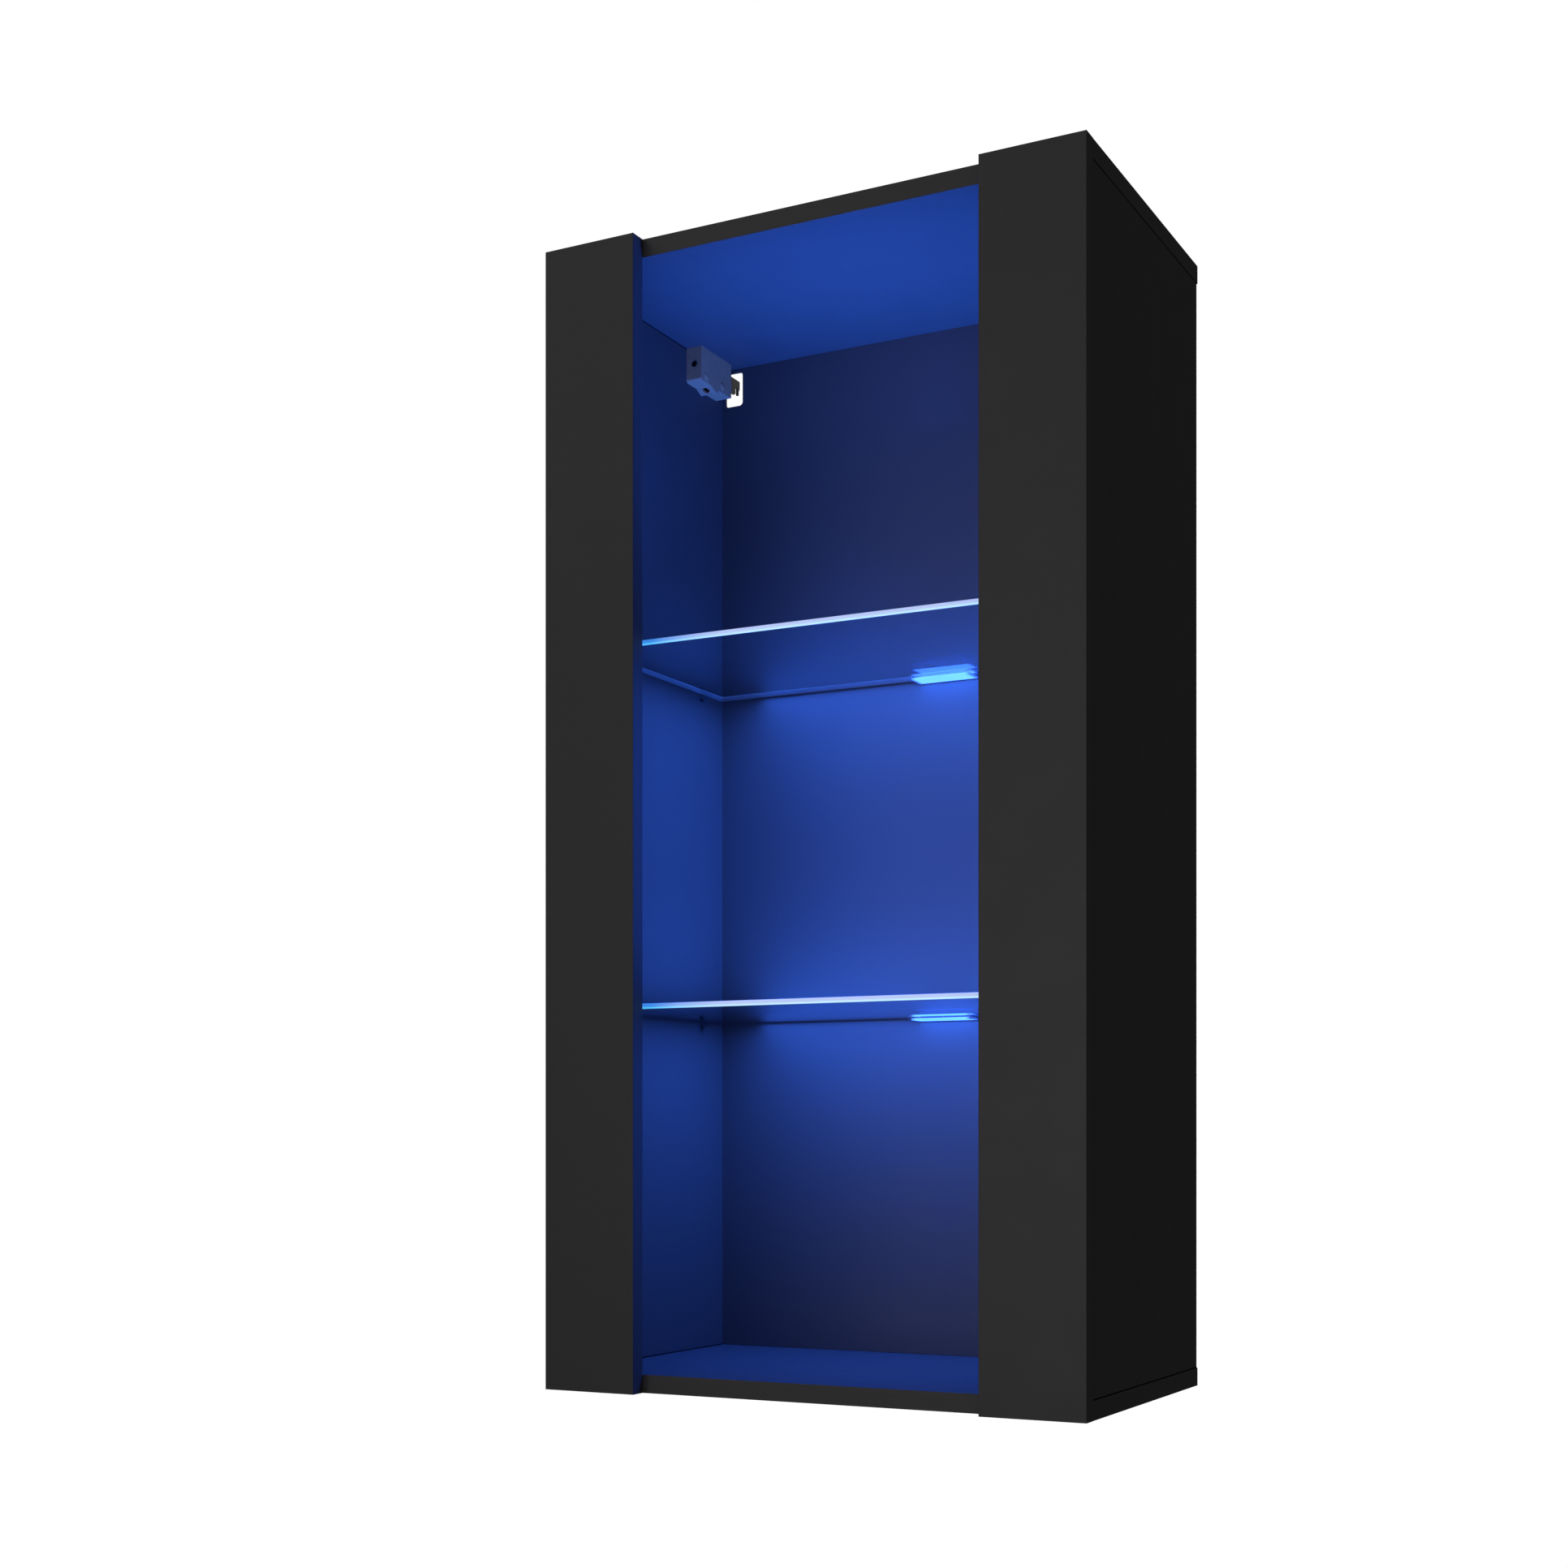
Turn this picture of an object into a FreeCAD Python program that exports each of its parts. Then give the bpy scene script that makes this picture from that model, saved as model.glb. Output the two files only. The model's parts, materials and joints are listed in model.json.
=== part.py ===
import FreeCAD, Part
import math
import os

# Wall-hung display cabinet: a board carcass with two broad vertical stiles on its front,
# two glass shelves, a lamp clipped to the back edge of each shelf, and two adjustable
# hangers in the upper back corners.  Millimetres, +Z up, front towards -Y.
# Origin: middle of the bounding box's base.  Depths are given from the front faces of the
# stiles and turned into Y by y_of().

# ---------------------------------------------------------------- driving dimensions
WIDTH = 500.0
HEIGHT = 1000.0
CABINET_DEPTH = 294.0        # front faces of the stiles to the rear edge of the top
HOOK_REACH = 6.8             # how far the wall hooks stand out behind that edge
BOARD = 16.0                 # laminated chipboard
BACK_BOARD = 3.0             # laminated hardboard
STILE_WIDTH = 90.0
BAND = 0.5                   # plastic edge band
BAND_ROUND = 0.35

SHELF_LEVELS = {"lower": 334.5, "upper": 654.5}   # undersides of the glass, 320 apart
GLASS = 5.0
GLASS_WIDTH = 466.0
GLASS_FRONT = 41.0           # depth of the glass's front edge
GLASS_BACK = 288.0           # depth of its back edge
GLASS_ARRIS = 0.5            # ground edge

SIDE_FASTENER_DEPTHS = (66.0, 241.0)    # confirmat screws, top and bottom boards
SIDE_DOWEL_DEPTHS = (98.0, 209.0)
STILE_CAM_HEIGHTS = (80.0, 500.0, 920.0)
STILE_DOWEL_HEIGHTS = (130.0, 370.0, 630.0, 870.0)
SHELF_PIN_DEPTHS = (96.0, 250.0)
NAIL_HEIGHTS = tuple(40.0 + 920.0 / 7.0 * i for i in range(8))

DOWEL_R = 4.0
DOWEL_LENGTH = 30.0
DOWEL_IN_FACE = 11.0         # how deep a dowel goes into a board's face
DOWEL_CHAMFER = 1.0

HANGER_WIDTH = 17.2
HANGER_FRONT = 219.8
HANGER_REAR = 278.0
HANGER_BASE = 951.0
HANGER_WALL = 1.6

# ---------------------------------------------------------------- derived planes
DEPTH = CABINET_DEPTH + HOOK_REACH
HALF_W = WIDTH / 2.0
INNER_X = HALF_W - BOARD
SIDE_MID_X = HALF_W - BOARD / 2.0
CEILING = HEIGHT - BOARD
CARCASS_FRONT = BOARD        # depth of the carcass's front plane, behind the stiles
BACK_FACE = CABINET_DEPTH - BACK_BOARD
X_AXIS = FreeCAD.Vector(1, 0, 0)
Y_AXIS = FreeCAD.Vector(0, 1, 0)
Z_AXIS = FreeCAD.Vector(0, 0, 1)


# ---------------------------------------------------------------- helpers
def y_of(depth):
    """Model Y of a depth measured back from the front faces of the stiles."""
    return depth - DEPTH / 2.0


def box(x0, x1, d0, d1, z0, z1):
    """Box between two corners, with its depths measured from the front."""
    corner = FreeCAD.Vector(x0, y_of(d0), z0)
    return Part.makeBox(x1 - x0, d1 - d0, z1 - z0, corner)


def rod(radius, length, x, depth, z, axis):
    """Round bar starting at a point and running along axis."""
    return Part.makeCylinder(radius, length, FreeCAD.Vector(x, y_of(depth), z), axis)


def plate(outline, x0, x1):
    """Flat plate between two X planes, cut to an outline of (depth, height) points."""
    points = [FreeCAD.Vector(x0, y_of(d), z) for d, z in outline]
    wire = Part.makePolygon(points + points[:1])
    return Part.Face(wire).extrude(FreeCAD.Vector(x1 - x0, 0, 0))


def union(shapes):
    joined = shapes[0]
    if len(shapes) > 1:
        joined = joined.fuse(shapes[1:])
    return joined.removeSplitter()


def less(shape, tools):
    return shape.cut(tools)


def group(shapes):
    """Identical pieces kept as separate solids of one node."""
    return Part.makeCompound(shapes)


def mirrored(shape):
    return shape.mirror(FreeCAD.Vector(0, 0, 0), X_AXIS)


def both_sides(shapes):
    return list(shapes) + [mirrored(shape) for shape in shapes]


def edges_where(shape, test):
    return [edge for edge in shape.Edges if test(edge)]


def runs_along(edge, axis):
    """True for a straight edge that runs along axis."""
    if not isinstance(edge.Curve, Part.Line):
        return False
    return abs(abs(edge.tangentAt(edge.FirstParameter).dot(axis)) - 1.0) < 1e-6


def mid(edge):
    return edge.BoundBox.Center


def save(name, shape):
    shape.exportStep("parts/%s.step" % name)


# ---------------------------------------------------------------- fasteners
def dowel_pin(x, depth, z, axis):
    """Beech dowel with chamfered ends; the point is one end's centre."""
    pin = rod(DOWEL_R, DOWEL_LENGTH, x, depth, z, axis)
    rims = edges_where(pin, lambda e: isinstance(e.Curve, Part.Circle))
    return pin.makeChamfer(DOWEL_CHAMFER, rims)


def dowel_hole(x, depth, z, axis):
    return rod(DOWEL_R, DOWEL_LENGTH, x, depth, z, axis)


CAP_R = 6.0
CAP_THICK = 1.2
CONFIRMAT_HEAD_R = 5.0
CONFIRMAT_HEAD = 3.0
CONFIRMAT_SHANK_R = 3.5
CONFIRMAT_THREAD_R = 3.1
CONFIRMAT_LENGTH = 48.8
CONFIRMAT_TIP = 4.0
CONFIRMAT_TIP_R = 0.8
HEX_SOCKET_R = 2.3
HEX_SOCKET_DEEP = 2.5


def confirmat_steps():
    """(radius, start, length) of the screw's stretches, measured in from the board's face."""
    neck = CAP_THICK + CONFIRMAT_HEAD
    tip = CAP_THICK + CONFIRMAT_LENGTH - CONFIRMAT_TIP
    return (
        (CONFIRMAT_HEAD_R, CAP_THICK, CONFIRMAT_HEAD),
        (CONFIRMAT_SHANK_R, neck, BOARD - neck),
        (CONFIRMAT_THREAD_R, BOARD, tip - BOARD),
    )


def confirmat_screw(depth, face_z, inward):
    """Screw through a board's face at z = face_z; inward is +1 or -1 along Z."""
    way = FreeCAD.Vector(0, 0, inward)
    pieces = []
    for radius, start, length in confirmat_steps():
        pieces.append(rod(radius, length, SIDE_MID_X, depth, face_z + inward * start, way))
    tip_start = CAP_THICK + CONFIRMAT_LENGTH - CONFIRMAT_TIP
    tip_at = FreeCAD.Vector(SIDE_MID_X, y_of(depth), face_z + inward * tip_start)
    pieces.append(Part.makeCone(CONFIRMAT_THREAD_R, CONFIRMAT_TIP_R, CONFIRMAT_TIP, tip_at, way))
    screw = union(pieces)
    socket = hexagon_prism(depth, face_z + inward * CAP_THICK, inward)
    return less(screw, [socket])


def hexagon_prism(depth, z, inward):
    """Space of the key's socket in a confirmat screw's head."""
    points = []
    for i in range(6):
        turn = math.radians(60.0 * i)
        x = SIDE_MID_X + HEX_SOCKET_R * math.cos(turn)
        points.append(FreeCAD.Vector(x, y_of(depth) + HEX_SOCKET_R * math.sin(turn), z))
    wire = Part.makePolygon(points + points[:1])
    return Part.Face(wire).extrude(FreeCAD.Vector(0, 0, inward * HEX_SOCKET_DEEP))


def confirmat_bore(depth, face_z, inward):
    """Everything that the screw and its cap need cut out of the boards."""
    way = FreeCAD.Vector(0, 0, inward)
    cuts = [rod(CAP_R, CAP_THICK, SIDE_MID_X, depth, face_z, way)]
    for radius, start, length in confirmat_steps():
        cuts.append(rod(radius, length, SIDE_MID_X, depth, face_z + inward * start, way))
    tip_start = CAP_THICK + CONFIRMAT_LENGTH - CONFIRMAT_TIP
    tip_z = face_z + inward * tip_start
    cuts.append(rod(CONFIRMAT_THREAD_R, CONFIRMAT_TIP, SIDE_MID_X, depth, tip_z, way))
    return union(cuts)


def screw_cap(depth, face_z, inward):
    """Flush cover disc over a confirmat screw's head."""
    way = FreeCAD.Vector(0, 0, inward)
    return rod(CAP_R, CAP_THICK, SIDE_MID_X, depth, face_z, way)


CAM_R = 7.5
CAM_DEEP = 12.4
CAM_SETBACK = 24.0           # cam's centre, back from the side board's front edge
CAM_MOUTH = 1.0              # how far the mouth for the bolt's head runs past the cam's middle
CAM_CROSS_HALF = 3.5
CAM_CROSS_SLOT = 0.7         # half the width of a slot of the cross recess
CAM_CROSS_DEEP = 2.0
CAM_BOLT_BORE_R = 4.0
CAM_BOLT_THREAD_R = 3.0
CAM_BOLT_COLLAR_R = 3.8
CAM_BOLT_COLLAR = 1.5
CAM_BOLT_NECK_R = 2.6
CAM_BOLT_HEAD_R = 3.5
CAM_BOLT_HEAD = 4.0


def cam_bolt(z):
    """Bolt screwed into the stile; its head sits in the cam in the side board."""
    neck_from = CARCASS_FRONT + CAM_BOLT_COLLAR
    head_from = CARCASS_FRONT + CAM_SETBACK - CAM_BOLT_HEAD
    stretches = (
        (CAM_BOLT_THREAD_R, CARCASS_FRONT - DOWEL_IN_FACE, DOWEL_IN_FACE),
        (CAM_BOLT_COLLAR_R, CARCASS_FRONT, CAM_BOLT_COLLAR),
        (CAM_BOLT_NECK_R, neck_from, head_from - neck_from),
        (CAM_BOLT_HEAD_R, head_from, CAM_BOLT_HEAD),
    )
    return union([rod(r, length, SIDE_MID_X, start, z, Y_AXIS) for r, start, length in stretches])


def cam_lock(z):
    """Round cam in the side board's inner face, with a cross recess to turn it."""
    centre = CARCASS_FRONT + CAM_SETBACK
    body = rod(CAM_R, CAM_DEEP, INNER_X, centre, z, X_AXIS)
    mouth = rod(CAM_BOLT_BORE_R, CAM_R + CAM_MOUTH, SIDE_MID_X, centre - CAM_R, z, Y_AXIS)
    cross = []
    for deep, tall in ((CAM_CROSS_HALF, CAM_CROSS_SLOT), (CAM_CROSS_SLOT, CAM_CROSS_HALF)):
        cross.append(box(INNER_X, INNER_X + CAM_CROSS_DEEP, centre - deep, centre + deep,
                         z - tall, z + tall))
    return less(body, [mouth] + cross)


def cam_pocket(z):
    centre = CARCASS_FRONT + CAM_SETBACK
    pocket = rod(CAM_R, CAM_DEEP, INNER_X, centre, z, X_AXIS)
    bore = rod(CAM_BOLT_BORE_R, CAM_SETBACK, SIDE_MID_X, CARCASS_FRONT, z, Y_AXIS)
    return pocket.fuse([bore])


NAIL_LENGTH = 20.0
NAIL_R = 0.7
NAIL_HEAD_R = 1.8
NAIL_HEAD = 0.8


def nail(z):
    """Nail through the back board into a side board's rear edge, head set flush."""
    shank_from = CABINET_DEPTH - NAIL_LENGTH
    shank = rod(NAIL_R, NAIL_LENGTH - NAIL_HEAD, SIDE_MID_X, shank_from, z, Y_AXIS)
    head = rod(NAIL_HEAD_R, NAIL_HEAD, SIDE_MID_X, CABINET_DEPTH - NAIL_HEAD, z, Y_AXIS)
    return union([shank, head])


PIN_R = 2.5
PIN_IN_WALL = 10.0
PIN_DROP = 4.5               # pin axis below the glass
PIN_REACH = 9.0
PIN_FLANGE = 1.2
PIN_TONGUE = 10.0
PIN_TONGUE_THICK = 2.0
PIN_WEB = 2.0                # thickness of the web that props the tongue
PIN_WEB_DROP = 8.0
PIN_WEB_SHORT = 1.0          # the web stops this far short of the tongue's tip


def shelf_pin(depth, level):
    """Clear plastic support: peg, round flange against the wall, tongue under the glass."""
    axis_z = level - PIN_DROP
    peg = rod(PIN_R, PIN_IN_WALL, INNER_X, depth, axis_z, X_AXIS)
    flange = rod(PIN_DROP, PIN_FLANGE, INNER_X - PIN_FLANGE, depth, axis_z, X_AXIS)
    half = PIN_TONGUE / 2.0
    under = level - PIN_TONGUE_THICK
    tongue = box(INNER_X - PIN_REACH, INNER_X, depth - half, depth + half, under, level)
    web_y = y_of(depth) - PIN_WEB / 2.0
    web_outline = (
        FreeCAD.Vector(INNER_X, web_y, level - PIN_WEB_DROP),
        FreeCAD.Vector(INNER_X, web_y, under),
        FreeCAD.Vector(INNER_X - PIN_REACH + PIN_WEB_SHORT, web_y, under),
    )
    web = Part.Face(Part.makePolygon(web_outline + web_outline[:1]))
    return union([peg, flange, tongue, web.extrude(FreeCAD.Vector(0, PIN_WEB, 0))])


# ---------------------------------------------------------------- boards
def banded_strip(x0, x1, d0, d1, z0, z1, outer_edges):
    """Edge band with its two outer long edges rounded."""
    strip = box(x0, x1, d0, d1, z0, z1)
    return strip.makeFillet(BAND_ROUND, edges_where(strip, outer_edges))


def level_board_z(at_top):
    if at_top:
        return CEILING, HEIGHT
    return 0.0, BOARD


def level_board_bores(at_top):
    """Bores that a top or bottom board shares with the side boards under or over it."""
    face_z = HEIGHT if at_top else 0.0
    inward = -1.0 if at_top else 1.0
    cuts = [confirmat_bore(d, face_z, inward) for d in SIDE_FASTENER_DEPTHS]
    start = face_z + inward * (BOARD - DOWEL_IN_FACE)
    way = FreeCAD.Vector(0, 0, inward)
    cuts += [dowel_hole(SIDE_MID_X, d, start, way) for d in SIDE_DOWEL_DEPTHS]
    return both_sides(cuts)


def level_board(at_top):
    """Top or bottom board: full width, from the carcass front to the rear plane."""
    z0, z1 = level_board_z(at_top)
    core = box(-HALF_W + BAND, HALF_W - BAND, CARCASS_FRONT + BAND, CABINET_DEPTH, z0, z1)
    return less(core, level_board_bores(at_top))


def level_board_bands(at_top):
    """Front band and two end bands of a top or bottom board."""
    z0, z1 = level_board_z(at_top)
    front = banded_strip(
        -HALF_W + BAND, HALF_W - BAND, CARCASS_FRONT, CARCASS_FRONT + BAND, z0, z1,
        lambda e: runs_along(e, X_AXIS) and mid(e).y < y_of(CARCASS_FRONT + BAND / 2.0),
    )
    end = banded_strip(
        HALF_W - BAND, HALF_W, CARCASS_FRONT, CABINET_DEPTH, z0, z1,
        lambda e: runs_along(e, Y_AXIS) and mid(e).x > HALF_W - BAND / 2.0,
    )
    return group([front, end, mirrored(end)])


def side_board():
    """Right side board: stands between the top and bottom boards, ahead of the back."""
    board = box(INNER_X, HALF_W, CARCASS_FRONT, BACK_FACE, BOARD, CEILING)
    cuts = level_board_bores(True) + level_board_bores(False)
    cuts += [cam_pocket(z) for z in STILE_CAM_HEIGHTS]
    into_edge = CARCASS_FRONT - DOWEL_IN_FACE
    cuts += [dowel_hole(SIDE_MID_X, into_edge, z, Y_AXIS) for z in STILE_DOWEL_HEIGHTS]
    cuts += [nail(z) for z in NAIL_HEIGHTS]
    for level in SHELF_LEVELS.values():
        for depth in SHELF_PIN_DEPTHS:
            cuts.append(rod(PIN_R, PIN_IN_WALL, INNER_X, depth, level - PIN_DROP, X_AXIS))
    cuts += [mirrored(peg) for peg in hanger_pegs()]
    return less(board, cuts)


def stile():
    """Right front stile, laid over the front edges of the carcass."""
    core = box(HALF_W - STILE_WIDTH + BAND, HALF_W - BAND, 0.0, BOARD, BAND, HEIGHT - BAND)
    into_face = CARCASS_FRONT - DOWEL_IN_FACE
    cuts = [dowel_hole(SIDE_MID_X, into_face, z, Y_AXIS) for z in STILE_DOWEL_HEIGHTS]
    cuts += [cam_bolt(z) for z in STILE_CAM_HEIGHTS]
    return less(core, cuts)


def stile_bands():
    """Bands on the right stile's two long edges, its top and its foot."""
    inner_x = HALF_W - STILE_WIDTH
    outer = banded_strip(
        HALF_W - BAND, HALF_W, 0.0, BOARD, 0.0, HEIGHT,
        lambda e: runs_along(e, Z_AXIS) and mid(e).x > HALF_W - BAND / 2.0,
    )
    inner = banded_strip(
        inner_x, inner_x + BAND, 0.0, BOARD, 0.0, HEIGHT,
        lambda e: runs_along(e, Z_AXIS) and mid(e).x < inner_x + BAND / 2.0,
    )
    head = banded_strip(
        inner_x + BAND, HALF_W - BAND, 0.0, BOARD, HEIGHT - BAND, HEIGHT,
        lambda e: runs_along(e, X_AXIS) and mid(e).z > HEIGHT - BAND / 2.0,
    )
    foot = banded_strip(
        inner_x + BAND, HALF_W - BAND, 0.0, BOARD, 0.0, BAND,
        lambda e: runs_along(e, X_AXIS) and mid(e).z < BAND / 2.0,
    )
    return group([outer, inner, head, foot])


BACK_SIDE_GAP = 2.0
BACK_LEVEL_GAP = 0.2
CUTOUT_OUTER_X = 230.4       # hook cut-out, from the cabinet's middle
CUTOUT_INNER_X = 211.1
CUTOUT_BASE = 947.3
CUTOUT_TOP = 980.5
CUTOUT_ROUND = 3.5
CUTOUT_PAST = 1.0            # how far the cutting block runs past the board's faces


def hook_cutout():
    """Rounded opening in the back board that the right-hand hook reaches through."""
    block = box(CUTOUT_INNER_X, CUTOUT_OUTER_X, BACK_FACE - CUTOUT_PAST,
                CABINET_DEPTH + CUTOUT_PAST, CUTOUT_BASE, CUTOUT_TOP)
    return block.makeFillet(CUTOUT_ROUND, edges_where(block, lambda e: runs_along(e, Y_AXIS)))


def back_board():
    half = HALF_W - BACK_SIDE_GAP
    base = BOARD + BACK_LEVEL_GAP
    board = box(-half, half, BACK_FACE, CABINET_DEPTH, base, CEILING - BACK_LEVEL_GAP)
    return less(board, both_sides([hook_cutout()] + [nail(z) for z in NAIL_HEIGHTS]))


# ---------------------------------------------------------------- glass shelves and lamps
LAMP_X = 11.0                # lamp's centre, right of the cabinet's middle
LAMP_LENGTH = 68.0
LAMP_LIT_LENGTH = 58.6
LAMP_FRONT = 269.0
LAMP_GRIP = 0.1              # gap between the lamp's jaws and the glass
LAMP_JAW_BELOW = 2.5
LAMP_JAW_ABOVE = 2.0
LAMP_SPINE = 2.5
LAMP_CORNER = 2.0
LAMP_LIP = 0.5               # chamfer on the jaws' front lips
LAMP_SLOT_PAST = 1.0         # how far the slot's cutting box runs past the lamp
DIFFUSER_FRONT = 270.0       # the upper bar; the lower one starts at the lamp's front
DIFFUSER_REAR = 289.6
DIFFUSER_BELOW = 1.8
DIFFUSER_ABOVE = 1.2
CIRCUIT_LENGTH = 58.0
CIRCUIT_THICK = 0.8
CIRCUIT_REAR = GLASS_BACK + LAMP_GRIP + 1.9
CIRCUIT_MARGIN = 0.1         # the circuit is this much lower than the glass, top and bottom
LED_COUNT = 6
LED_SIZE = (3.5, 0.6, 2.8)
SOCKET_SIZE = (2.6, 7.0, 1.5)
SOCKET_RAISE = 0.4           # socket's underside above the lamp's
SOCKET_SETBACK = 9.0
CONTACT_R = 0.45
CONTACT_STEP = 1.7
CONTACT_DEEP = 1.8


def glass_shelf(level):
    half = GLASS_WIDTH / 2.0
    pane = box(-half, half, GLASS_FRONT, GLASS_BACK, level, level + GLASS)
    flat_edges = edges_where(pane, lambda e: not runs_along(e, Z_AXIS))
    return pane.makeChamfer(GLASS_ARRIS, flat_edges)


def lamp_heights(level):
    """Underside of the lower jaw and top of the upper jaw."""
    low = level - LAMP_GRIP - LAMP_JAW_BELOW
    high = level + GLASS + LAMP_GRIP + LAMP_JAW_ABOVE
    return low, high


def lamp_slot(level):
    """Space between the jaws that the glass's edge sits in."""
    low, high = level - LAMP_GRIP, level + GLASS + LAMP_GRIP
    half = LAMP_LENGTH / 2.0 + LAMP_SLOT_PAST
    return box(LAMP_X - half, LAMP_X + half, LAMP_FRONT - LAMP_SLOT_PAST,
               GLASS_BACK + LAMP_GRIP, low, high)


def lamp_diffusers(level):
    """Lit bars let into the two jaws. The lower one shows below and in front, the upper above."""
    low, high = lamp_heights(level)
    x0, x1 = LAMP_X - LAMP_LIT_LENGTH / 2.0, LAMP_X + LAMP_LIT_LENGTH / 2.0
    below = box(x0, x1, LAMP_FRONT, DIFFUSER_REAR, low, low + DIFFUSER_BELOW)
    above = box(x0, x1, DIFFUSER_FRONT, DIFFUSER_REAR, high - DIFFUSER_ABOVE, high)
    return [below, above]


def lamp_circuit(level):
    """Circuit board standing in the spine, facing the glass's edge."""
    half = CIRCUIT_LENGTH / 2.0
    return box(LAMP_X - half, LAMP_X + half, CIRCUIT_REAR - CIRCUIT_THICK, CIRCUIT_REAR,
               level + CIRCUIT_MARGIN, level + GLASS - CIRCUIT_MARGIN)


def lamp_leds(level):
    """Light-emitting chips in a row on the circuit board."""
    wide, thick, tall = LED_SIZE
    rear = CIRCUIT_REAR - CIRCUIT_THICK
    pitch = CIRCUIT_LENGTH / LED_COUNT
    base = level + (GLASS - tall) / 2.0
    chips = []
    for i in range(LED_COUNT):
        x = LAMP_X + (i - (LED_COUNT - 1) / 2.0) * pitch
        chips.append(box(x - wide / 2.0, x + wide / 2.0, rear - thick, rear, base, base + tall))
    return chips


def lamp_circuit_pocket(level):
    half = CIRCUIT_LENGTH / 2.0
    return box(LAMP_X - half, LAMP_X + half, GLASS_BACK, CIRCUIT_REAR,
               level + CIRCUIT_MARGIN, level + GLASS - CIRCUIT_MARGIN)


def lamp_socket_block(level):
    """Space of the lead socket, in the lower jaw's right-hand end."""
    wide, deep, tall = SOCKET_SIZE
    low = lamp_heights(level)[0] + SOCKET_RAISE
    x1 = LAMP_X + LAMP_LENGTH / 2.0
    front = LAMP_FRONT + SOCKET_SETBACK
    return box(x1 - wide, x1, front, front + deep, low, low + tall)


def lamp_socket(level):
    """Low-voltage socket with two contact holes."""
    block = lamp_socket_block(level)
    centre = block.BoundBox.Center
    depth = centre.y + DEPTH / 2.0
    start = block.BoundBox.XMax - CONTACT_DEEP
    holes = []
    for step in (-CONTACT_STEP, CONTACT_STEP):
        holes.append(rod(CONTACT_R, CONTACT_DEEP, start, depth + step, centre.z, X_AXIS))
    return less(block, holes)


def lamp_housing(level):
    """Clear clip: two jaws joined by a spine behind the glass's edge."""
    low, high = lamp_heights(level)
    x0, x1 = LAMP_X - LAMP_LENGTH / 2.0, LAMP_X + LAMP_LENGTH / 2.0
    rear = GLASS_BACK + LAMP_GRIP + LAMP_SPINE
    body = box(x0, x1, LAMP_FRONT, rear, low, high)
    near_front = y_of(LAMP_FRONT + LAMP_LIP)
    corners = edges_where(body, lambda e: runs_along(e, Z_AXIS) and mid(e).y < near_front)
    body = body.makeFillet(LAMP_CORNER, corners)
    lips = edges_where(body, lambda e: runs_along(e, X_AXIS) and mid(e).y < near_front)
    body = body.makeChamfer(LAMP_LIP, lips)
    cuts = [lamp_slot(level), lamp_circuit_pocket(level), lamp_socket_block(level)]
    return less(body, cuts + lamp_diffusers(level))


# ---------------------------------------------------------------- adjustable hangers
# Built in the left corner; u is the distance in from the left side board's inner face.
SCREW_U = 8.4
DEPTH_SCREW_Z = 968.4
SCREW_R = 2.0
SCREW_FIT = 0.05             # radial running clearance on the adjusting screws
DEPTH_HEAD_R = 4.0
DEPTH_HEAD_FROM = 221.6
DEPTH_HEAD = 2.5
DEPTH_SCREW_END = 272.0
RECESS_HALF = 2.2            # cross recess in the depth screw's head
RECESS_SLOT = 0.45           # half the width of a recess's slot, on both screws
RECESS_DEEP = 1.5
ACCESS_R = 3.4
CASING_NOSE = 3.0            # rounding under the casing's front
CASING_RIM = 0.8             # rounding of its front edge
COLLAR_DEPTHS = (224.4, 226.4)   # wall that holds the depth screw behind its head
COLLAR_Z = (962.0, 975.0)
WEDGE_TOE = (237.7, 951.5)   # (depth, height): where the slanted face leaves the casing
WEDGE_TIP = (248.7, 946.8)
WEDGE_HEEL = (252.5, 951.5)
BOSS_R = 4.5                 # tube around the height screw, inside the casing
BOSS_SPAN = (1.0, 8.5)       # measured in from the slanted face, like the next five
BOSS_MOUTH_R = 3.5
BOSS_MOUTH_END = 5.2
HEIGHT_HEAD_R = 3.3
HEIGHT_HEAD_SPAN = (2.2, 4.7)
HEIGHT_SCREW_END = 12.7
HEIGHT_RECESS_HALF = 2.0
HEIGHT_RECESS_DEEP = 1.3
PEG_DEPTHS = (228.5, 260.5)
PEG_Z = 956.6
PEG_SHAFT_R = 3.5
PEG_WALL_R = 5.0
PEG_IN_WALL = 11.0
PEG_DOME_R = 4.25
PEG_DOME = 1.5
SLIDER_U = (2.2, 11.9)
SLIDER_DEPTHS = (252.0, 266.0)
SLIDER_Z = (965.0, 978.5)
PIVOT_DEPTH = 260.0
PIVOT_Z = 974.5
PIVOT_R = 1.5
PIVOT_HEAD_R = 2.6
PIVOT_HEAD = 0.7
PIVOT_PLAY = 0.1
HOOK_U = (12.2, 14.4)
TAB_U = 5.0
TAB_THICK = 1.6
TAB_DEPTHS = (240.0, 256.0)
TAB_Z = 962.0
NOTCH_DEPTHS = (292.0, 296.6)
NOTCH_Z = (960.2, 966.7)     # mouth and seat of the notch over the wall rail


def u_of(u):
    """Model X of a distance in from the left side board."""
    return -INNER_X + u


def slant():
    """Middle of the slanted face (depth, height), and the unit direction into the casing."""
    along_d = WEDGE_TIP[0] - WEDGE_TOE[0]
    along_z = WEDGE_TIP[1] - WEDGE_TOE[1]
    length = math.hypot(along_d, along_z)
    middle = ((WEDGE_TOE[0] + WEDGE_TIP[0]) / 2.0, (WEDGE_TOE[1] + WEDGE_TIP[1]) / 2.0)
    return middle, FreeCAD.Vector(0, -along_z / length, along_d / length)


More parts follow.
